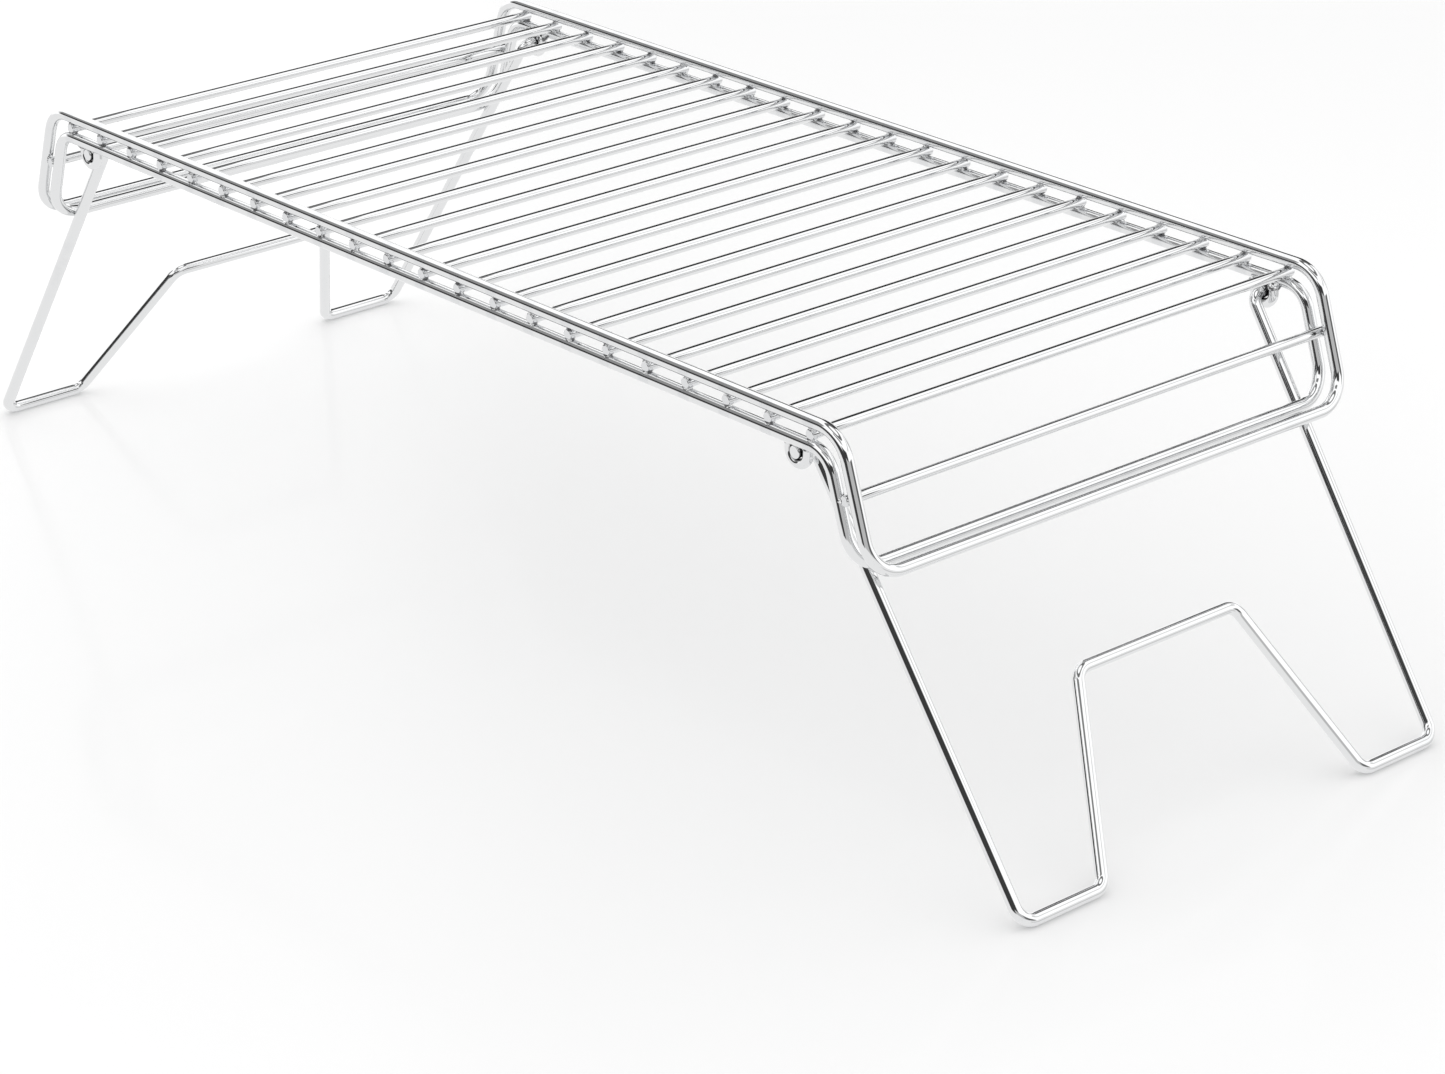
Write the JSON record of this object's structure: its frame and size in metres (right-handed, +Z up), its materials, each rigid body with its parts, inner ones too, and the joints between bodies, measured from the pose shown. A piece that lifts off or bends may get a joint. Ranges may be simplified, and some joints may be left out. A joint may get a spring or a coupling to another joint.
{
  "type": "folding camp grill",
  "caption": "Free-standing camp grill of chromed steel wire: a barred grate with two sloping ends, over two M-shaped wire legs that fold flat underneath.",
  "frame": {"origin": "on the ground, under the middle of the grate", "axes": "+X along the grate to the right leg, +Y across it to the rear side wire, +Z up"},
  "size_m": [0.7565, 0.288, 0.194],
  "materials": {
    "frame_chrome": "bright chrome plate on drawn steel wire",
    "bar_chrome": "bright chrome plate on drawn steel wire",
    "eyelet_chrome": "bright chrome plate on drawn steel wire",
    "leg_chrome": "bright chrome plate on drawn steel wire"
  },
  "bodies": {
    "grate": {"upper_frame": "frame_chrome", "lower_frame": "frame_chrome", "grid_bar_01": "bar_chrome", "grid_bar_02": "bar_chrome", "grid_bar_03": "bar_chrome", "grid_bar_04": "bar_chrome", "grid_bar_05": "bar_chrome", "grid_bar_06": "bar_chrome", "grid_bar_07": "bar_chrome", "grid_bar_08": "bar_chrome", "grid_bar_09": "bar_chrome", "grid_bar_10": "bar_chrome", "grid_bar_11": "bar_chrome", "grid_bar_12": "bar_chrome", "grid_bar_13": "bar_chrome", "grid_bar_14": "bar_chrome", "grid_bar_15": "bar_chrome", "grid_bar_16": "bar_chrome", "grid_bar_17": "bar_chrome", "grid_bar_18": "bar_chrome", "grid_bar_19": "bar_chrome", "grid_bar_20": "bar_chrome", "grid_bar_21": "bar_chrome", "grid_bar_22": "bar_chrome", "left_end_rail": "bar_chrome", "right_end_rail": "bar_chrome", "left_front_eyelet": "eyelet_chrome", "left_rear_eyelet": "eyelet_chrome", "right_front_eyelet": "eyelet_chrome", "right_rear_eyelet": "eyelet_chrome"},
    "left_leg": {"left_leg": "leg_chrome"},
    "right_leg": {"right_leg": "leg_chrome"}
  },
  "joints": [
    {"name": "left_leg_fold", "type": "hinge", "parent": "grate", "child": "left_leg", "pos_m": [-0.25575, 0, 0.17475], "axis": [0, -1, 0], "range_deg": [0, 126]},
    {"name": "right_leg_fold", "type": "hinge", "parent": "grate", "child": "right_leg", "pos_m": [0.25575, 0, 0.17475], "axis": [0, 1, 0], "range_deg": [0, 126]}
  ]
}
